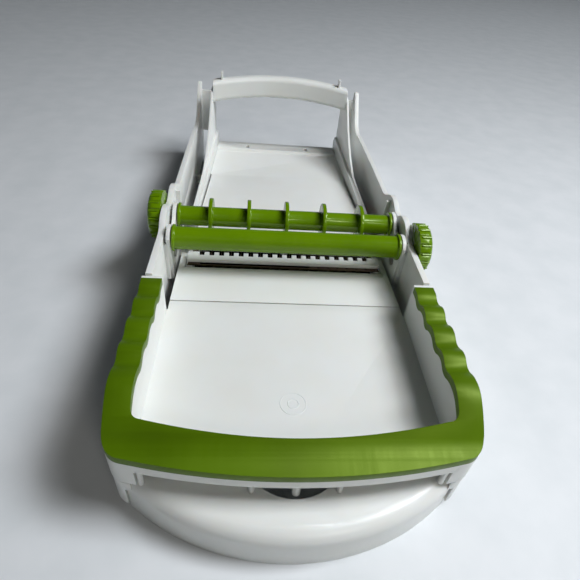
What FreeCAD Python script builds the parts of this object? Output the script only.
import FreeCAD, Part

import math
import os

# Hand-operated vegetable dicer of the mandoline kind, lying flat on a table.
# X runs across it, Y from the feed end (-) to the far end (+), Z up. The origin
# is under the middle of the object, on the table. All sizes are millimetres.

doc = FreeCAD.newDocument("VegetableDicer")
sheet = doc.addObject("Spreadsheet::Sheet", "dims")

DIMENSIONS = [
    # feed tray
    ("tray_half", 66.8, "outer half width of the tray"),
    ("tray_inner_half", 57.8, "half width between the tray walls"),
    ("tray_front", -153.5, "foremost point of the bowed front wall"),
    ("tray_front_inner", -140.6, "foremost point inside the tray"),
    ("tray_rear", -65.0, "rear end of the tray walls"),
    ("front_bow", 283.0, "plan radius of the front wall, outside"),
    ("front_bow_inner", 337.0, "plan radius of the front wall, inside"),
    ("tray_corner", 8.0, "outer corner radius in plan"),
    ("deck_top", 27.3, "height of the feed deck"),
    ("deck_thickness", 2.5, "feed deck thickness"),
    ("deck_rear", -59.0, "rear edge of the feed deck"),
    ("front_wall_bottom", 29.0, "lower edge of the front wall"),
    ("front_opening_half", 56.0, "half width of the opening under the front wall"),
    ("deck_front", -142.6, "rear of the opening under the front wall"),
    ("screw_hole", 1.52, "radius of the holes for the small screws"),
    ("tongue_screw_y", -73.0, "screws that hold the side frames to the tray"),
    ("tongue_screw_z", 20.0, "height of those screws"),
    ("skin", 2.0, "moulded wall thickness"),
    ("wall_bottom", 3.0, "lower edge of the side walls, on the feet"),
    # soft rim
    ("rim_thickness", 3.4, "depth of the soft rim"),
    ("rim_rear", -66.4, "rear ends of the soft rim"),
    # side frames and roller brackets
    ("frame_inner", 62.2, "inner face of the side frames"),
    ("frame_outer", 65.2, "outer face of the side frames"),
    ("frame_rear", 167.0, "far end of the side frames"),
    ("bracket_inner", 58.9, "inner face of the roller brackets"),
    ("bracket_outer", 60.7, "outer face of the roller brackets"),
    # rollers and knobs
    ("plain_y", -31.0, "plain roller axis"),
    ("plain_z", 45.0, "plain roller axis height"),
    ("finned_y", -8.5, "finned roller axis"),
    ("finned_z", 44.4, "finned roller axis height"),
    ("roller_half", 58.3, "half length of both rollers"),
    ("plain_radius", 5.8, "plain roller radius"),
    ("finned_radius", 5.3, "finned roller radius"),
    ("fin_radius", 10.0, "fin radius"),
    ("fin_thickness", 2.0, "fin thickness"),
    ("fin_pitch", 20.4, "distance from fin to fin"),
    ("flange_radius", 6.9, "end flange radius"),
    ("flange_thickness", 1.3, "end flange thickness"),
    ("axle_radius", 2.0, "roller axle radius"),
    ("axle_clearance", 0.06, "radial running clearance in the bushes"),
    ("bush_radius", 3.2, "outer radius of the bushes"),
    ("axle_room", 0.35, "radial gap round an axle in the side frame"),
    ("knob_radius", 13.0, "knob radius"),
    ("knob_inner", 65.9, "inner face of the knobs"),
    ("knob_outer", 73.2, "outer face of the knobs"),
    ("flute_count", 18, "grip flutes round a knob"),
    # ramp
    ("ramp_front", -58.3, "front edge of the ramp"),
    ("ramp_rear", -14.5, "rear ends of the ramp arms"),
    ("ramp_half", 57.2, "half width of the ramp"),
    ("ramp_thickness", 2.2, "ramp plate thickness"),
    ("ramp_slope", 4.6, "fall of the ramp towards the blade, in degrees"),
    ("slot_front", -28.8, "front edge of the blade slot"),
    ("slot_half", 53.9, "half width of the blade slot"),
    ("hinge_y", -58.8, "ramp hinge axis"),
    ("hinge_z", 22.6, "ramp hinge axis height"),
    ("hinge_rod_radius", 1.2, "ramp hinge rod radius"),
    ("knuckle_radius", 2.6, "hinge knuckle radius"),
    # blade and teeth
    ("blade_edge", -28.2, "cutting edge of the blade"),
    ("blade_rear", -12.0, "rear edge of the blade"),
    ("blade_half", 52.8, "half length of the cutting edge"),
    ("blade_rear_half", 50.6, "half length of the rear edge"),
    ("blade_top", 25.7, "blade height"),
    ("blade_thickness", 0.8, "blade thickness"),
    ("tooth_count", 18, "julienne teeth and comb notches"),
    ("tooth_pitch", 5.35, "distance from tooth to tooth"),
    ("tooth_thickness", 0.4, "thickness of a tooth"),
    ("comb_front", -25.5, "front face of the comb"),
    ("comb_rear", -18.6, "rear face of the comb"),
    ("comb_top", 27.9, "comb height"),
    ("notch_width", 2.7, "width of a comb notch"),
    ("notch_depth", 2.9, "depth of a comb notch"),
    # swinging rear frame
    ("pivot_y", 17.0, "rear frame pivot"),
    ("pivot_z", 26.0, "rear frame pivot height"),
    ("pivot_radius", 2.0, "rear frame pivot pin radius"),
    ("lug_radius", 4.6, "radius of the pivot lugs"),
    ("rail_inner", 52.4, "inner face of a rail at the pivot"),
    ("rail_outer", 55.8, "outer face of a rail at the pivot"),
    ("rail_web", 1.4, "thickness of the tall outer web of a rail"),
    ("rail_taper", 1.6, "inward turn of each rail, in degrees"),
    ("landing_front", 21.0, "front edge of the landing deck"),
    ("landing_rear", 153.0, "rear edge of the landing deck"),
    ("handle_bottom", 55.2, "underside of the handle bar at its ends"),
    ("handle_top", 70.6, "top of the handle bar at its ends"),
    ("handle_arch", 3.6, "rise of the handle bar in the middle"),
    ("handle_bow", 143.4, "plan radius of the handle bar's centre line"),
    ("handle_apex", 150.0, "rearmost point of that centre line"),
    ("handle_depth", 10.0, "handle bar depth"),
    ("catch_top", 77.0, "top of the catches on the handle bar"),
    # folding stand
    ("stand_front", -167.0, "foremost point of the stand"),
    ("stand_bow", 97.0, "plan radius of the stand"),
    ("stand_rear", -139.5, "rear edge of the stand's top"),
    ("stand_half", 61.4, "half width of the stand"),
    ("stand_top", 19.0, "height of the stand's flat top"),
    ("stand_y", -134.0, "stand hinge axis"),
    ("stand_z", 11.0, "stand hinge axis height"),
    ("stand_pin_radius", 2.0, "stand hinge pin radius"),
    ("stand_ear_radius", 8.6, "radius of the stand's ends round the hinge"),
    ("stand_ear_inner", 61.0, "inner face of those ends"),
    ("stand_shoulder", 14.6, "underside of the shoulders that join them to the stand"),
    ("notch_radius", 20.0, "radius of the finger notch"),
]

for row, (alias, value, meaning) in enumerate(DIMENSIONS, start=1):
    sheet.set(f"A{row}", meaning)
    sheet.set(f"B{row}", str(value))
    sheet.setAlias(f"B{row}", alias)
doc.recompute()

size = {alias: float(value) for alias, value, meaning in DIMENSIONS}
SIDES = (("left", -1), ("right", 1))
REACH = 200.0        # further than the object reaches, for tools that cut right through
subparts = []        # the finished pieces, in the order they are written


# ---------------------------------------------------------------- helpers
def bind(obj, **expressions):
    """Bind an object's properties to expressions of the dimension sheet."""
    for name, text in expressions.items():
        obj.setExpression(name, str(text))


def bind_base(obj, x, y, z):
    """Bind where an object stands."""
    for axis, text in zip("xyz", (x, y, z)):
        obj.setExpression(f"Placement.Base.{axis}", str(text))


def box(name, x, y, z):
    """A block between two planes each way; x, y and z are pairs of expressions."""
    obj = doc.addObject("Part::Box", name)
    bind(
        obj,
        Length=f"({x[1]}) - ({x[0]})",
        Width=f"({y[1]}) - ({y[0]})",
        Height=f"({z[1]}) - ({z[0]})",
    )
    bind_base(obj, x[0], y[0], z[0])
    return obj


def rod(name, radius, x, y, z):
    """A cylinder along X between the pair of expressions x."""
    obj = doc.addObject("Part::Cylinder", name)
    obj.Placement.Rotation = FreeCAD.Rotation(FreeCAD.Vector(0, 1, 0), 90)
    bind(obj, Radius=radius, Height=f"({x[1]}) - ({x[0]})")
    bind_base(obj, x[0], y, z)
    return obj


def post(name, radius, x, y, z):
    """An upright cylinder between the pair of expressions z."""
    obj = doc.addObject("Part::Cylinder", name)
    bind(obj, Radius=radius, Height=f"({z[1]}) - ({z[0]})")
    bind_base(obj, x, y, z[0])
    return obj


def fuse(name, pieces):
    obj = doc.addObject("Part::MultiFuse", name)
    obj.Shapes = pieces
    obj.Refine = True
    return obj


def group(name, pieces):
    """Separate solids kept as one sub-part."""
    obj = doc.addObject("Part::Compound", name)
    obj.Links = pieces
    return obj


def cut(name, base, tools):
    obj = doc.addObject("Part::Cut", name)
    obj.Base = base
    obj.Tool = tools[0] if len(tools) == 1 else fuse(name + "_tools", tools)
    obj.Refine = True
    return obj


def common(name, pieces):
    obj = doc.addObject("Part::MultiCommon", name)
    obj.Shapes = pieces
    return obj


def rounded(name, base, radius, choose):
    """Fillet the edges of base that the function choose picks."""
    doc.recompute()
    edges = base.Shape.Edges
    chosen = [number for number, edge in enumerate(edges, start=1) if choose(edge)]
    if not chosen:
        raise RuntimeError(f"{name}: no edge to round")
    obj = doc.addObject("Part::Fillet", name)
    obj.Base = base
    obj.Edges = [(number, radius, radius) for number in chosen]
    return obj


def origin_plane(body, role):
    return next(item for item in body.Origin.OriginFeatures if item.Role == role)


def prism(name, plane, start, steps, low, high):
    """Pad an outline from low to high along the normal of XY_Plane or YZ_Plane.

    A step of two numbers is a straight line to that point; a step of four is
    an arc through the first point to the second.
    """
    body = doc.addObject("PartDesign::Body", name)
    sketch = body.newObject("Sketcher::SketchObject", name + "_outline")
    sketch.AttachmentSupport = [(origin_plane(body, plane), "")]
    sketch.MapMode = "FlatFace"
    sketch.setExpression("AttachmentOffset.Base.z", str(low))
    here = FreeCAD.Vector(start[0], start[1], 0)
    for step in list(steps) + [start]:
        end = FreeCAD.Vector(step[-2], step[-1], 0)
        if len(step) == 4:
            middle = FreeCAD.Vector(step[0], step[1], 0)
            sketch.addGeometry(Part.Arc(here, middle, end), False)
        else:
            sketch.addGeometry(Part.LineSegment(here, end), False)
        here = end
    pad = body.newObject("PartDesign::Pad", name + "_pad")
    pad.Profile = sketch
    pad.setExpression("Length", f"({high}) - ({low})")
    return body


def across(sign, inner, outer):
    """The X span from inner to outer on one side of the object."""
    if sign > 0:
        return (inner, outer)
    return (f"-({outer})", f"-({inner})")


def finish(obj, label):
    obj.Label = label
    subparts.append(obj)
    return obj


def upright(edge):
    """True for a straight vertical edge."""
    ends = edge.Vertexes
    if len(ends) != 2:
        return False
    first, last = ends[0].Point, ends[1].Point
    level = math.hypot(first.x - last.x, first.y - last.y)
    return level < 0.01 and abs(first.z - last.z) > 0.5


# ------------------------------------------------------- tray and soft rim
def tray_plan(name, half, front, bow, rear, low, high, corner):
    """A block with a bowed front and two rounded front corners."""
    block = box(name + "_block", (f"-({half})", half), (front, rear), (low, high))
    bow_cylinder = post(name + "_bow", bow, 0, f"({front}) + ({bow})", (low, high))
    shape = common(name + "_bowed", [block, bow_cylinder])

    def front_corner(edge):
        return upright(edge) and edge.Vertexes[0].Point.y < size["tray_front"] + 30.0

    return rounded(name, shape, corner, front_corner)


# The top of the soft rim seen from the side, from the rear ends to the front:
# four finger waves, then a slope down to the level front bar.
GRIP_START = (-60.0, 47.3)
GRIP_STEPS = [
    (-71.0, 47.3), (-72.2, 46.9),
    (-75.3, 45.9, -78.6, 46.9), (-82.8, 48.2, -85.8, 47.2),
    (-88.4, 46.2, -91.2, 47.3), (-95.6, 48.7, -99.4, 47.8),
    (-102.4, 47.0, -105.4, 47.9), (-109.2, 49.1, -112.4, 48.1),
    (-115.2, 47.3, -118.4, 48.2), (-124.0, 49.3, -129.8, 47.6),
    (-135.8, 43.4, -140.6, 38.9), (-143.4, 37.4, -147.5, 36.8), (-160.0, 36.0),
]


def shifted(step, rise):
    """A step of an outline, lifted by rise."""
    return tuple(value + rise if place % 2 else value for place, value in enumerate(step))


def beside_grip(name, rise, level):
    """Everything between the rim's top line, lifted by rise, and a level line."""
    steps = [shifted(step, rise) for step in GRIP_STEPS]
    steps += [(GRIP_STEPS[-1][-2], level), (GRIP_START[0], level)]
    return prism(name, "YZ_Plane", shifted(GRIP_START, rise), steps,
                 "-dims.tray_half - 5", "dims.tray_half + 5")


def make_tray():
    outer = tray_plan(
        "tray_outer", "dims.tray_half", "dims.tray_front", "dims.front_bow",
        "dims.tray_rear", "dims.wall_bottom", "60", size["tray_corner"],
    )
    inner = tray_plan(
        "tray_inner", "dims.tray_inner_half", "dims.tray_front_inner", "dims.front_bow_inner",
        "dims.tray_rear + 5", "dims.deck_top", "70", 3.0,
    )
    above = beside_grip("above_tray", 0.0, REACH)
    over_seat = beside_grip("over_rim_seat", -size["rim_thickness"], REACH)
    before_rim_ends = box("before_rim_ends", (-REACH, REACH), (-REACH, "dims.rim_rear"), (0, REACH))
    seat = common("rim_seat", [over_seat, before_rim_ends])
    under = box(
        "under_deck", ("-dims.tray_inner_half", "dims.tray_inner_half"),
        ("dims.deck_front", "dims.tray_rear + 5"), ("0", "dims.deck_top - dims.deck_thickness"),
    )
    under_front = box(
        "under_front", ("-dims.front_opening_half", "dims.front_opening_half"),
        ("dims.tray_front - 5", "dims.deck_front"), ("0", "dims.front_wall_bottom"),
    )
    skirt_relief = box(
        "skirt_relief", ("-70", "70"), ("dims.tray_front - 5", "dims.stand_rear"), ("0", "8"),
    )
    stand_room = box(
        "stand_room", ("-70", "70"),
        ("dims.tray_front - 5", "dims.stand_rear + 0.6"), ("0", "dims.stand_top + 1.6"),
    )
    tools = [inner, above, seat, under, under_front, skirt_relief, stand_room]
    for side, sign in SIDES:
        x = across(sign, "dims.tray_inner_half + dims.skin", "dims.tray_half - dims.skin")
        tools.append(box(f"{side}_wall_hollow", x, ("dims.stand_rear + 2.6", "-60"), ("0", "33")))
        tools.append(rod(f"{side}_stand_pin_hole", "dims.stand_pin_radius + 0.02",
                         across(sign, "50", "dims.tray_half - 3"), "dims.stand_y", "dims.stand_z"))
        beside = across(sign, "dims.stand_ear_inner - 0.4", "70")
        tools.append(rod(f"{side}_stand_ear_room", "dims.stand_ear_radius + 0.4", beside,
                         "dims.stand_y", "dims.stand_z"))
        tools.append(box(f"{side}_stand_side_room", beside, ("-160", "dims.stand_y"),
                         ("0", "dims.stand_top + 1.6")))
        tools.append(rod(f"{side}_frame_screw_hole", "dims.screw_hole",
                         across(sign, "56", "dims.tray_inner_half + 4"),
                         "dims.tongue_screw_y", "dims.tongue_screw_z"))
    shell = cut("tray_shell", outer, tools)

    # the deck reaches a little behind the walls and carries the hinge knuckles
    tongue = box("deck_tongue", ("-dims.ramp_half", "dims.ramp_half"),
                 ("dims.tray_rear - 4", "dims.deck_rear"),
                 ("dims.deck_top - dims.deck_thickness", "dims.deck_top"))
    pieces = [shell, tongue]
    for number, x in enumerate((-44, 0, 44), start=1):
        pieces.append(rod(f"deck_knuckle_{number}", "dims.knuckle_radius",
                          (f"{x} - 4", f"{x} + 4"), "dims.hinge_y", "dims.hinge_z"))
        pieces.append(box(f"deck_knuckle_web_{number}", (f"{x} - 4", f"{x} + 4"),
                          ("dims.hinge_y - 2.6", "dims.deck_rear"),
                          ("dims.hinge_z", "dims.deck_top - dims.deck_thickness + 0.5")))
    # short posts under the front wall, on which the folded stand closes
    stop_bottom, stop_top = "dims.stand_top + 0.4", "dims.front_wall_bottom + 1"
    stops = ((-54.6, -146.4), (-15.9, -149.5), (15.9, -149.5), (54.6, -146.4))
    for number, (x, y) in enumerate(stops, start=1):
        pieces.append(post(f"stand_stop_{number}", "1.1", x, y, (stop_bottom, stop_top)))
    pieces.append(post("stand_stop_middle", "1.5", 0, -150.2, (stop_bottom, stop_top)))
    whole = fuse("tray_whole", pieces)
    tools = [rod("hinge_rod_hole", "dims.hinge_rod_radius + 0.02", ("-52", "52"), "dims.hinge_y",
                 "dims.hinge_z")]
    for number, x in enumerate((-22, 22), start=1):
        tools.append(rod(f"deck_relief_{number}", "dims.knuckle_radius + 0.4",
                         (f"{x} - 4.4", f"{x} + 4.4"),
                         "dims.hinge_y", "dims.hinge_z"))
    finish(cut("feed_tray", whole, tools), "feed_tray")


def make_rim():
    """The U of soft rubber on top of the tray walls."""
    outer = tray_plan(
        "rim_outer", "dims.tray_half", "dims.tray_front", "dims.front_bow",
        "dims.rim_rear", "20", "70", size["tray_corner"],
    )
    inner = tray_plan(
        "rim_inner", "dims.tray_inner_half", "dims.tray_front_inner", "dims.front_bow_inner",
        "dims.tray_rear + 10", "10", "80", 3.0,
    )
    ring = cut("rim_ring", outer, [inner])
    below_top = beside_grip("below_rim_top", 0.0, 0.0)
    over_seat = beside_grip("over_tray_wall", -size["rim_thickness"], REACH)
    finish(common("grip_rim", [ring, below_top, over_seat]), "grip_rim")


# ------------------------------------------------ side frames and brackets
# One side frame seen from the side: two ears at the rollers, a long top edge,
# and a hook at the far end that stands beside the handle.
FRAME_START = (-65.0, 3.0)
FRAME_STEPS = [
    (-65.0, 48.7), (-33.4, 48.2), (-30.4, 48.7, -28.2, 50.2), (-20.0, 53.9, -11.5, 52.6),
    (-6.2, 49.8, 0.6, 50.4), (8.0, 52.3, 16.5, 49.9), (23.0, 46.4), (26.5, 45.2, 31.0, 44.9),
    (64.0, 44.0), (100.0, 42.3), (126.0, 40.8), (136.0, 40.6, 143.5, 43.4),
    (161.5, 61.0), (164.83, 62.35, 167.0, 59.5), (167.0, 24.0), (160.0, 3.0),
]
PIVOTS = ("dims.pivot_y", "dims.pivot_z")
PLAIN_AXIS = ("dims.plain_y", "dims.plain_z")
FINNED_AXIS = ("dims.finned_y", "dims.finned_z")


def make_side_frame(side, sign):
    plate = prism(f"{side}_frame_plate", "YZ_Plane", FRAME_START, FRAME_STEPS,
                  *across(sign, "dims.frame_inner", "dims.frame_outer"))
    tongue = box(f"{side}_frame_tongue", across(sign, "60.2", "64.5"),
                 ("dims.tray_rear - 15", "dims.tray_rear + 2"), ("8", "31"))
    # a web at the hook, and a rib inside the second ear
    web = box(f"{side}_hook_web", across(sign, "53.8", "dims.frame_inner + 0.3"),
              ("161.5", "163.3"), ("24", "56.4"))
    rib = box(f"{side}_ear_rib", across(sign, "59.6", "dims.frame_inner + 0.3"),
              ("8.6", "10.4"), ("35.5", "49.6"))
    body = fuse(f"{side}_frame_body", [plate, tongue, web, rib])
    through = across(sign, "56", "72")
    axle_hole = "dims.axle_radius + dims.axle_room"
    holes = [
        rod(f"{side}_plain_axle_hole", axle_hole, through, *PLAIN_AXIS),
        rod(f"{side}_finned_axle_hole", axle_hole, through, *FINNED_AXIS),
        rod(f"{side}_pivot_hole", "dims.pivot_radius + 0.02", through, *PIVOTS),
    ]
    inward = across(sign, "56", "64.6")
    for number, (y, z) in enumerate(BRACKET_SCREWS, start=1):
        holes.append(rod(f"{side}_wall_screw_hole_{number}", "dims.screw_hole", inward, y, z))
    holes.append(rod(f"{side}_tongue_screw_hole", "dims.screw_hole", across(sign, "56", "63"),
                     "dims.tongue_screw_y", "dims.tongue_screw_z"))
    finish(cut(f"{side}_side_frame", body, holes), f"{side}_side_frame")


BRACKET_START = (-33.0, 20.0)
BRACKET_STEPS = [
    (-37.2, 47.5), (-31.0, 51.6, -25.0, 48.2), (-20.5, 45.0), (-15.5, 47.8),
    (-8.5, 51.4, -1.5, 47.6), (6.0, 40.0), (9.0, 33.0), (9.0, 20.0),
]
BRACKET_SCREWS = ((-26.5, 33.0), (3.0, 34.0))


def make_bracket(side, sign):
    """The inner plate that carries both rollers, with ribs out to the side frame."""
    plate = prism(f"{side}_bracket_plate", "YZ_Plane", BRACKET_START, BRACKET_STEPS,
                  *across(sign, "dims.bracket_inner", "dims.bracket_outer"))
    span = across(sign, "dims.bracket_outer - 0.5", "dims.frame_inner")
    pieces = [plate]
    for number, (y, top) in enumerate(((-20.5, 44.6), (-35.0, 44.0), (6.0, 38.0)), start=1):
        pieces.append(box(f"{side}_bracket_rib_{number}", span, (y - 0.9, y + 0.9), (22.0, top)))
    for number, (y, z) in enumerate(BRACKET_SCREWS, start=1):
        pieces.append(rod(f"{side}_bracket_boss_{number}", "3.2", span, y, z))
    body = fuse(f"{side}_bracket_body", pieces)
    through = across(sign, "56", "66")
    holes = [
        rod(f"{side}_bracket_plain_hole", "dims.bush_radius + 0.02", through, *PLAIN_AXIS),
        rod(f"{side}_bracket_finned_hole", "dims.bush_radius + 0.02", through, *FINNED_AXIS),
    ]
    for number, (y, z) in enumerate(BRACKET_SCREWS, start=1):
        holes.append(rod(f"{side}_bracket_screw_hole_{number}", "dims.screw_hole", through, y, z))
    finish(cut(f"{side}_roller_bracket", body, holes), f"{side}_roller_bracket")


def make_bushes():
    """A plain sleeve for each end of each roller axle, in its bracket."""
    for kind in ("plain", "finned"):
        sleeves = []
        for side, sign in SIDES:
            x = across(sign, "dims.bracket_inner", "dims.frame_inner - 0.3")
            where = (f"dims.{kind}_y", f"dims.{kind}_z")
            outer = rod(f"{kind}_{side}_bush_outer", "dims.bush_radius", x, *where)
            bore = rod(f"{kind}_{side}_bush_bore", "dims.axle_radius + dims.axle_clearance",
                       across(sign, "50", "72"), *where)
            sleeves.append(cut(f"{kind}_{side}_bush", outer, [bore]))
        finish(group(f"{kind}_roller_bushes", sleeves), f"{kind}_roller_bushes")


def make_bracket_screws():
    screws = []
    for side, sign in SIDES:
        for number, (y, z) in enumerate(BRACKET_SCREWS, start=1):
            name = f"{side}_bracket_screw_{number}"
            head = rod(name + "_head", "2.6", across(sign, "57.9", "dims.bracket_inner"), y, z)
            shank = rod(name + "_shank", "1.5", across(sign, "58.5", "64.4"), y, z)
            drive = box(name + "_drive", across(sign, "57.8", "58.5"), (y - 1.4, y + 1.4),
                        (z - 0.3, z + 0.3))
            screws.append(cut(name, fuse(name + "_body", [head, shank]), [drive]))
    finish(group("bracket_screws", screws), "bracket_screws")


def make_frame_screws():
    screws = []
    for side, sign in SIDES:
        name = f"{side}_frame_screw"
        head = rod(name + "_head", "2.6", across(sign, "56.7", "dims.tray_inner_half"),
                   "dims.tongue_screw_y", "dims.tongue_screw_z")
        shank = rod(name + "_shank", "1.5", across(sign, "57", "62.9"), "dims.tongue_screw_y",
                    "dims.tongue_screw_z")
        drive = box(name + "_drive", across(sign, "56.6", "57.3"), ("-74.4", "-71.6"), ("19.7", "20.3"))
        screws.append(cut(name, fuse(name + "_body", [head, shank]), [drive]))
    finish(group("frame_screws", screws), "frame_screws")


def make_feet():
    feet = []
    for side, sign in SIDES:
        feet.append(box(f"{side}_front_foot", across(sign, "58.2", "66.4"), ("-124", "-104"),
                        ("0", "dims.wall_bottom")))
        feet.append(box(f"{side}_rear_foot",
                        across(sign, "dims.frame_inner + 0.1", "dims.frame_outer - 0.1"),
                        ("128", "150"), ("0", "dims.wall_bottom")))
    finish(group("rubber_feet", feet), "rubber_feet")


def make_rear_crossbar():
    """The tie between the side frames, on which the rear frame rests."""
    bar = box("rear_crossbar_web", ("-dims.frame_inner", "dims.frame_inner"), ("100", "108"),
              ("5", "7.2"))
    web = box("rear_crossbar_rib", ("-dims.frame_inner", "dims.frame_inner"), ("103", "105"),
              ("5", "11.6"))
    finish(fuse("rear_crossbar", [bar, web]), "rear_crossbar")


# --------------------------------------------------------- rollers and knobs
def make_plain_roller():
    axis = PLAIN_AXIS
    ends = ("-dims.roller_half", "dims.roller_half")
    pieces = [rod("plain_roller_tube", "dims.plain_radius", ends, *axis)]
    for side, sign in SIDES:
        x = across(sign, "dims.roller_half - dims.flange_thickness", "dims.roller_half")
        pieces.append(rod(f"plain_{side}_flange", "dims.flange_radius", x, *axis))
    body = fuse("plain_roller_body", pieces)
    bore = rod("plain_roller_bore", "dims.axle_radius + 0.02", ("-70", "70"), *axis)
    finish(cut("plain_roller", body, [bore]), "plain_roller")
    # the axle carries the right-hand knob
    axle = rod("plain_axle_blank", "dims.axle_radius",
               ("-dims.frame_outer + 0.4", "dims.knob_outer - 3.4"), *axis)
    tapped = rod("plain_axle_tapping", "1.27", ("60", "80"), *axis)
    finish(cut("plain_roller_axle", axle, [tapped]), "plain_roller_axle")


def make_finned_roller():
    axis = FINNED_AXIS
    ends = ("-dims.roller_half", "dims.roller_half")
    pieces = [rod("finned_roller_tube", "dims.finned_radius", ends, *axis)]
    for side, sign in SIDES:
        x = across(sign, "dims.roller_half - dims.flange_thickness", "dims.roller_half")
        pieces.append(rod(f"finned_{side}_flange", "dims.flange_radius", x, *axis))
    for number in range(-2, 3):
        middle = f"{number} * dims.fin_pitch"
        x = (f"{middle} - dims.fin_thickness / 2", f"{middle} + dims.fin_thickness / 2")
        pieces.append(rod(f"fin_{number + 3}", "dims.fin_radius", x, *axis))
    body = fuse("finned_roller_body", pieces)
    bore = rod("finned_roller_bore", "dims.axle_radius + 0.02", ("-70", "70"), *axis)
    finish(cut("finned_roller", body, [bore]), "finned_roller")
    # the axle carries the left-hand knob
    axle = rod("finned_axle_blank", "dims.axle_radius",
               ("-dims.knob_outer + 3.4", "dims.frame_outer - 0.4"), *axis)
    tapped = rod("finned_axle_tapping", "1.27", ("-80", "-60"), *axis)
    finish(cut("finned_roller_axle", axle, [tapped]), "finned_roller_axle")


def make_knob(side, sign, kind):
    """A round fluted knob on its axle, held by a recessed screw."""
    axis = (f"dims.{kind}_y", f"dims.{kind}_z")
    disc = rod(f"{side}_knob_disc", "dims.knob_radius",
               across(sign, "dims.knob_inner", "dims.knob_outer"), *axis)

    def outer_edge(edge):
        on_face = abs(abs(edge.CenterOfMass.x) - size["knob_outer"]) < 0.01
        return on_face and edge.Length > 60.0

    dome = rounded(f"{side}_knob_dome", disc, 3.6, outer_edge)
    tools = []
    count = int(size["flute_count"])
    for number in range(count):
        angle = 2.0 * math.pi * number / count
        y = f"{axis[0]} + (dims.knob_radius + 0.9) * {math.cos(angle):.6f}"
        z = f"{axis[1]} + (dims.knob_radius + 0.9) * {math.sin(angle):.6f}"
        tools.append(rod(f"{side}_flute_{number + 1}", "1.6", across(sign, "65", "78"), y, z))
    tools.append(rod(f"{side}_knob_socket", "dims.axle_radius + 0.02",
                     across(sign, "60", "dims.knob_outer - 3.4"), *axis))
    tools.append(rod(f"{side}_knob_screw_hole", "1.55", across(sign, "60", "80"), *axis))
    tools.append(rod(f"{side}_knob_recess", "3.4", across(sign, "dims.knob_outer - 2", "80"), *axis))
    finish(cut(f"{side}_knob", dome, tools), f"{side}_knob")

    head = rod(f"{side}_knob_screw_head", "3.0",
               across(sign, "dims.knob_outer - 2", "dims.knob_outer - 0.4"), *axis)
    shank = rod(f"{side}_knob_screw_shank", "1.25",
                across(sign, "dims.knob_outer - 12", "dims.knob_outer - 1.5"), *axis)
    slots = []
    for number, (wide, high) in enumerate(((2.0, 0.4), (0.4, 2.0)), start=1):
        slots.append(box(f"{side}_knob_screw_slot_{number}",
                         across(sign, "dims.knob_outer - 1.3", "dims.knob_outer + 1"),
                         (f"{axis[0]} - {wide}", f"{axis[0]} + {wide}"),
                         (f"{axis[1]} - {high}", f"{axis[1]} + {high}")))
    screw = cut(f"{side}_knob_screw", fuse(f"{side}_knob_screw_body", [head, shank]), slots)
    finish(screw, f"{side}_knob_screw")


# ---------------------------------------------------------------------- ramp
def make_ramp():
    """The sloping plate between the feed deck and the blade, slotted round the blade."""
    fall = math.tan(math.radians(size["ramp_slope"]))
    length = size["ramp_rear"] - size["ramp_front"]
    top = size["deck_top"]
    low = top - fall * length
    thick = size["ramp_thickness"]
    start = (size["ramp_front"], top - thick)
    steps = [(size["ramp_front"], top), (size["ramp_rear"], low), (size["ramp_rear"], low - thick)]
    plate = prism("ramp_plate_blank", "YZ_Plane", start, steps, "-dims.ramp_half", "dims.ramp_half")
    pieces = [plate]
    for number, x in enumerate((-22, 22), start=1):
        pieces.append(rod(f"ramp_knuckle_{number}", "dims.knuckle_radius", (f"{x} - 4", f"{x} + 4"),
                          "dims.hinge_y", "dims.hinge_z"))
        pieces.append(box(f"ramp_knuckle_web_{number}", (f"{x} - 4", f"{x} + 4"),
                          ("dims.ramp_front", "dims.hinge_y + 2.6"), ("dims.hinge_z",
                                                                      "dims.deck_top - 2")))
    body = fuse("ramp_body", pieces)
    slot = box("ramp_slot", ("-dims.slot_half", "dims.slot_half"), ("dims.slot_front", "0"),
               ("0", "60"))
    tools = [slot,
             rod("ramp_rod_hole", "dims.hinge_rod_radius + 0.06", ("-60", "60"), "dims.hinge_y",
                 "dims.hinge_z")]
    for number, x in enumerate((-44, 0, 44), start=1):
        tools.append(rod(f"ramp_relief_{number}", "dims.knuckle_radius + 0.4",
                         (f"{x} - 4.4", f"{x} + 4.4"),
                         "dims.hinge_y", "dims.hinge_z"))
    finish(cut("ramp_plate", body, tools), "ramp_plate")
    finish(rod("ramp_hinge_rod", "dims.hinge_rod_radius", ("-50", "50"), "dims.hinge_y",
               "dims.hinge_z"),
           "ramp_hinge_rod")


# ------------------------------------------------------------ blade and comb
def tooth_places():
    count = int(size["tooth_count"])
    for number in range(count):
        yield number + 1, (number - (count - 1) / 2.0) * size["tooth_pitch"]


def make_blade():
    edge, rear = size["blade_edge"], size["blade_rear"]
    half, rear_half = size["blade_half"], size["blade_rear_half"]
    plate = prism("blade_blank", "XY_Plane", (-half, edge),
                  [(half, edge), (rear_half, rear), (-rear_half, rear)],
                  "dims.blade_top - dims.blade_thickness", "dims.blade_top")
    ground = 2.2      # width of the ground edge, on the underside
    thick = size["blade_thickness"]
    bottom = size["blade_top"] - thick
    bevel = prism("blade_bevel", "YZ_Plane", (edge - 0.1, bottom - 0.5),
                  [(edge - 0.1, bottom + thick - 0.15), (edge + ground, bottom),
                   (edge + ground, bottom - 0.5)],
                  "-60", "60")
    tools = [bevel]
    for number, x in tooth_places():
        tools.append(box(f"blade_slit_{number}", (x - 0.42, x + 0.42), ("dims.blade_edge + 1.3", "-17"),
                         ("20", "30")))
    for number, x in enumerate((-46.0, 0.0, 46.0), start=1):
        tools.append(post(f"blade_rivet_hole_{number}", "1.22", x, -14.4, ("20", "30")))
    finish(cut("slicing_blade", plate, tools), "slicing_blade")


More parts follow.
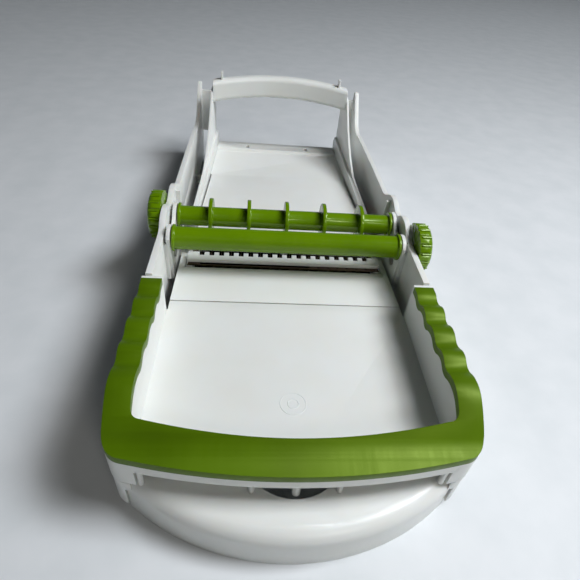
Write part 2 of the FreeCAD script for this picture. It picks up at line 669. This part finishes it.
def make_teeth():
    """Thin upright teeth on one rail under the blade, one in each slit."""
    rail = box("teeth_rail", ("-49.6", "49.6"), ("-25.6", "-17.4"), ("18.6", "20.4"))
    thin = size["tooth_thickness"] / 2.0
    pieces = [rail]
    for number, x in tooth_places():
        pieces.append(box(f"tooth_{number}", (x - thin, x + thin), ("-26.6", "-17.4"), ("20", "25.3")))
        pieces.append(box(f"tooth_tip_{number}", (x - thin, x + thin), ("-21", "-18.9"), ("25", "29")))
    finish(fuse("julienne_teeth", pieces), "julienne_teeth")


def make_comb():
    bar = box("comb_bar_blank", ("-53", "53"), ("dims.comb_front", "dims.comb_rear"),
              ("dims.blade_top", "dims.comb_top"))
    tools = []
    for number, x in tooth_places():
        half = size["notch_width"] / 2.0
        tools.append(box(f"comb_notch_{number}", (x - half, x + half),
                         ("dims.comb_rear - dims.notch_depth", "dims.comb_rear + 1"), ("20", "40")))
    finish(cut("comb_bar", bar, tools), "comb_bar")


def make_blade_holder():
    """The moulding across the brackets that carries the blade, the teeth and the comb."""
    under_blade = "dims.blade_top - dims.blade_thickness"
    plate = box("holder_plate", ("-53.2", "53.2"), ("-16.8", "8"), ("22.9", under_blade))
    bridge = box("holder_bridge", ("-51.2", "51.2"), ("7", "20"), ("22.9", under_blade))
    beam = box("holder_beam", ("-dims.bracket_inner", "dims.bracket_inner"), ("-12.6", "-5"),
               ("14", "20.5"))
    web = box("holder_web", ("-53.2", "53.2"), ("-10", "-7.5"), ("14", "23"))
    pieces = [plate, bridge, beam, web]
    for side, sign in SIDES:
        pieces.append(box(f"{side}_holder_arm", across(sign, "50", "53.2"), ("-27.6", "-7"),
                          ("17.5", under_blade)))
        pieces.append(box(f"{side}_teeth_shelf", across(sign, "47", "51"), ("-25.6", "-10"),
                          ("16.4", "18.6")))
    body = fuse("holder_body", pieces)
    holes = [post(f"holder_rivet_hole_{number}", "1.22", x, -14.4, ("23.3", "30"))
             for number, x in enumerate((-46.0, 0.0, 46.0), start=1)]
    holes.append(box("holder_teeth_room", ("-49.7", "49.7"), ("-30", "-17"), ("18.6", "30")))
    finish(cut("blade_holder", body, holes), "blade_holder")


def make_blade_rivets():
    rivets = []
    for number, x in enumerate((-46.0, 0.0, 46.0), start=1):
        shank = post(f"rivet_shank_{number}", "1.2", x, -14.4, ("23.3", "dims.blade_top"))
        head = post(f"rivet_head_{number}", "2.0", x, -14.4, ("dims.blade_top", "dims.blade_top + 0.6"))
        rivets.append(fuse(f"rivet_{number}", [shank, head]))
    finish(group("blade_rivets", rivets), "blade_rivets")


# ------------------------------------------------------- swinging rear frame
# A rail of the rear frame seen from the side: a low ledge that carries the
# landing deck, and a thin outer web that climbs to the handle bar.
RAIL_START = (12.5, 20.0)
RAIL_LUG = [(12.5, 27.0), (17.0, 30.4, 21.5, 28.8)]
RAIL_LEDGE = [(60.0, 28.4), (152.0, 28.4), (155.0, 25.0), (154.0, 13.0), (112.0, 11.9), (60.0, 13.0)]
RAIL_WEB = [
    (60.0, 28.8), (78.0, 29.6), (95.0, 35.4), (106.0, 41.4), (116.0, 47.6), (125.5, 55.4),
    (133.0, 62.0), (137.0, 64.8, 142.0, 65.3), (150.0, 65.0), (155.0, 58.0), (155.5, 30.0),
    (154.0, 13.0), (112.0, 11.9), (60.0, 13.0),
]


def turned_rail(name, sign, steps, x):
    """A plate turned inward about the upright line at the rail's pivot."""
    plate = prism(name, "YZ_Plane", RAIL_START, RAIL_LUG + steps, *x)
    turn = FreeCAD.Rotation(FreeCAD.Vector(0, 0, 1), sign * size["rail_taper"])
    centre = FreeCAD.Vector(sign * size["rail_inner"], size["pivot_y"], 0)
    plate.Placement = FreeCAD.Placement(centre,
                                        turn).multiply(FreeCAD.Placement(-centre, FreeCAD.Rotation()))
    return plate


def make_rail(side, sign):
    ledge = turned_rail(f"{side}_rail_ledge", sign, RAIL_LEDGE,
                        across(sign, "dims.rail_inner", "dims.rail_outer"))
    web = turned_rail(f"{side}_rail_web", sign, RAIL_WEB,
                      across(sign, "dims.rail_outer - dims.rail_web", "dims.rail_outer"))
    boss = rod(f"{side}_rail_boss", "dims.lug_radius",
               across(sign, "dims.rail_inner + 1", "dims.frame_inner - 0.5"), *PIVOTS)
    body = fuse(f"{side}_rail_body", [ledge, web, boss])
    hole = rod(f"{side}_rail_hole", "dims.pivot_radius + 0.06", across(sign, "45", "70"), *PIVOTS)
    finish(cut(f"{side}_rail", body, [hole]), f"{side}_rail")


def rail_face(y):
    """Half distance between the rails' inner faces at the place y."""
    return size["rail_inner"] - (y - size["pivot_y"]) * math.tan(math.radians(size["rail_taper"]))


def make_landing_deck():
    front, crease, step, rear = size["landing_front"], 88.0, 136.5, size["landing_rear"]
    thick = 2.2
    profile = [(front, 26.0), (crease, 20.0), (step, 17.6), (step + 1.2, 19.4), (rear, 18.6),
               (rear, 18.6 - thick), (step + 1.2, 17.0), (step, 17.6 - thick), (crease, 20.0 - thick)]
    side_view = prism("landing_profile", "YZ_Plane", (front, 26.0 - thick), profile, "-60", "60")
    slit_end, slit = 90.0, 1.0
    plan = [
        (rail_face(front) - slit, front), (rail_face(slit_end) - slit, slit_end),
        (rail_face(slit_end), slit_end), (rail_face(rear), rear),
    ]
    mirrored = [(-x, y) for x, y in reversed(plan)]
    outline = plan[1:] + mirrored
    plan_view = prism("landing_plan", "XY_Plane", plan[0], outline, "5", "40")
    deck = common("landing_blank", [side_view, plan_view])
    notches = [box(f"{side}_lip_notch", across(sign, "23", "25.4"), ("141", "147"),
                   ("10", "40")) for side, sign in SIDES]
    finish(cut("landing_deck", deck, notches), "landing_deck")


def web_face(y):
    """Half distance between the inner faces of the two rail webs at the place y."""
    return rail_face(y) + size["rail_outer"] - size["rail_web"] - size["rail_inner"]


def make_handle_bar():
    """A bar bowed to the rear and arched upward, between the two rail webs."""
    centre_y = "dims.handle_apex - dims.handle_bow"
    z = ("dims.handle_bottom - 2", "dims.handle_top + 8")
    outer = post("handle_outer", "dims.handle_bow + dims.handle_depth / 2", 0, centre_y, z)
    inner = post("handle_inner", "dims.handle_bow - dims.handle_depth / 2", 0, centre_y, z)
    ring = cut("handle_ring", outer, [inner])
    gap, front, rear = 0.05, 120.0, 160.0
    plan = [(web_face(rear) - gap, rear), (gap - web_face(rear), rear), (gap - web_face(front), front)]
    keep = prism("handle_keep", "XY_Plane", (web_face(front) - gap, front), plan, "20", "100")
    half, bottom, top, arch = 56.0, size["handle_bottom"], size["handle_top"], size["handle_arch"]
    steps = [(0.0, bottom + arch, half, bottom), (half, top), (0.0, top + arch, -half, top)]
    arched = prism("handle_arched", "XZ_Plane", (-half, bottom), steps, "-170", "-110")
    bar = common("handle_blank", [ring, keep, arched])

    def long_edge(edge):
        return edge.Length > 80.0

    catches = [
        box(f"{side}_handle_catch", across(sign, "43.9", "45.3"), ("140", "145"),
            ("dims.handle_top", "dims.catch_top"))
        for side, sign in SIDES
    ]
    finish(fuse("handle_bar", [rounded("handle_rounded", bar, 3.4, long_edge)] + catches), "handle_bar")


def make_pivot_pins():
    pins = [rod(f"{side}_pivot_pin", "dims.pivot_radius",
                across(sign, "dims.rail_inner", "dims.frame_outer"), *PIVOTS)
            for side, sign in SIDES]
    finish(group("frame_pivot_pins", pins), "frame_pivot_pins")


# ------------------------------------------------------------- folding stand
def stand_solid(name, inset, top):
    """The D-shaped stand, or its inside when inset is more than nothing."""
    half = f"dims.stand_half - {inset}"
    block = box(name + "_block", (f"-({half})", half), ("dims.stand_front - 1", "dims.stand_rear"),
                ("0", top))
    bow = post(name + "_bow", f"dims.stand_bow - {inset}", 0, "dims.stand_front + dims.stand_bow",
               ("0", top))
    return common(name, [block, bow])


def make_stand():
    outer = stand_solid("stand_blank", 0, "dims.stand_top")

    def top_rim(edge):
        bounds = edge.BoundBox
        level = abs(bounds.ZMin - size["stand_top"]) < 0.01 and abs(bounds.ZMax - size["stand_top"]) < 0.01
        return level and edge.CenterOfMass.y < size["stand_rear"] - 1.0

    corners = rounded("stand_corners", outer, 3.0,
                      lambda edge: upright(edge) and edge.Vertexes[0].Point.y < size["stand_rear"] - 1.0)
    shell = rounded("stand_rounded", corners, 5.5, top_rim)
    inside = stand_solid("stand_inside", 2.2, "dims.stand_top - 2")
    inside_body = rounded("stand_inside_rounded", inside, 3.5,
                          lambda edge: abs(edge.BoundBox.ZMin - size["stand_top"] + 2) < 0.01
                          and abs(edge.BoundBox.ZMax - size["stand_top"] + 2) < 0.01
                          and edge.CenterOfMass.y < size["stand_rear"] - 1.0)
    notch = post("finger_notch", "dims.notch_radius", 0, "-152.5 + dims.notch_radius", ("2", "40"))
    tools = [inside_body, notch]
    for side, sign in SIDES:      # room for the tray walls when the stand swings
        tools.append(box(f"{side}_stand_end_room", across(sign, "57.3", "70"), ("-143.8", "-130"),
                         ("-1", "dims.stand_shoulder")))
    hollow = cut("stand_hollow", shell, tools)
    pieces = [hollow]
    # rounded ends, flush with the tray's corners, outside its walls
    corner_plan = tray_plan(
        "stand_end_plan", "dims.tray_half - 0.2", "dims.tray_front + 0.2", "dims.front_bow",
        "-110", "2.0", "dims.stand_top + 0.8", size["tray_corner"],
    )
    ends = []
    for side, sign in SIDES:
        outside = across(sign, "dims.stand_ear_inner", "70")
        ends.append(rod(f"{side}_stand_ear", "dims.stand_ear_radius", outside, "dims.stand_y",
                        "dims.stand_z"))
        ends.append(box(f"{side}_stand_ear_front", outside, ("-160", "dims.stand_y"), ("4", "30")))
        ends.append(box(f"{side}_stand_shoulder", across(sign, "58.5", "70"),
                        ("-160", "dims.stand_rear"),
                        ("dims.stand_shoulder", "30")))
    pieces.append(common("stand_ends", [corner_plan, fuse("stand_end_blocks", ends)]))
    for side, sign in SIDES:
        pieces.append(box(f"{side}_stand_arm", across(sign, "50.4", "57.2"), ("-141", "dims.stand_y"),
                          ("5", "17.5")))
        pieces.append(rod(f"{side}_stand_eye", "6", across(sign, "50.4", "57.2"), "dims.stand_y",
                          "dims.stand_z"))
    for number, x in enumerate((-34.0, 34.0), start=1):
        pieces.append(box(f"stand_rib_{number}", (x - 0.8, x + 0.8),
                          ("dims.stand_front + 12", "dims.stand_rear"), ("6", "17.5")))
    body = fuse("stand_body", pieces)
    hole = rod("stand_eye_hole", "dims.stand_pin_radius + 0.06", ("-70", "70"), "dims.stand_y",
               "dims.stand_z")
    finish(cut("stand_foot", body, [hole]), "stand_foot")


def make_stand_pins():
    pins = [rod(f"{side}_stand_pin", "dims.stand_pin_radius",
                across(sign, "50.6", "dims.tray_half - 2.4"),
                "dims.stand_y", "dims.stand_z") for side, sign in SIDES]
    finish(group("stand_pins", pins), "stand_pins")


# ------------------------------------------------------------------ assembly
make_tray()
make_rim()
for side, sign in SIDES:
    make_side_frame(side, sign)
    make_bracket(side, sign)
make_bushes()
make_bracket_screws()
make_frame_screws()
make_feet()
make_rear_crossbar()
make_plain_roller()
make_finned_roller()
make_knob("left", -1, "finned")
make_knob("right", 1, "plain")
make_ramp()
make_blade()
make_teeth()
make_comb()
make_blade_holder()
make_blade_rivets()
for side, sign in SIDES:
    make_rail(side, sign)
make_landing_deck()
make_handle_bar()
make_pivot_pins()
make_stand()
make_stand_pins()

doc.recompute()

failed = [obj.Name for obj in doc.Objects if "Invalid" in obj.State or "Error" in obj.State]
if failed:
    raise RuntimeError("failed objects: " + ", ".join(failed))
for obj in subparts:
    if obj.Shape.isNull() or not obj.Shape.isValid():
        raise RuntimeError(f"{obj.Label} has no valid shape")

os.makedirs("parts", exist_ok=True)
for obj in subparts:
    obj.Shape.exportStep(f"parts/{obj.Label}.step")
    bounds = obj.Shape.BoundBox
    print(f"{obj.Label:22s} {len(obj.Shape.Solids):3d} solids {obj.Shape.Volume / 1000.0:8.2f} cm3 "
          f"x {bounds.XMin:.1f}..{bounds.XMax:.1f} y {bounds.YMin:.1f}..{bounds.YMax:.1f} "
          f"z {bounds.ZMin:.1f}..{bounds.ZMax:.1f}")
print(len(subparts), "sub-parts written")
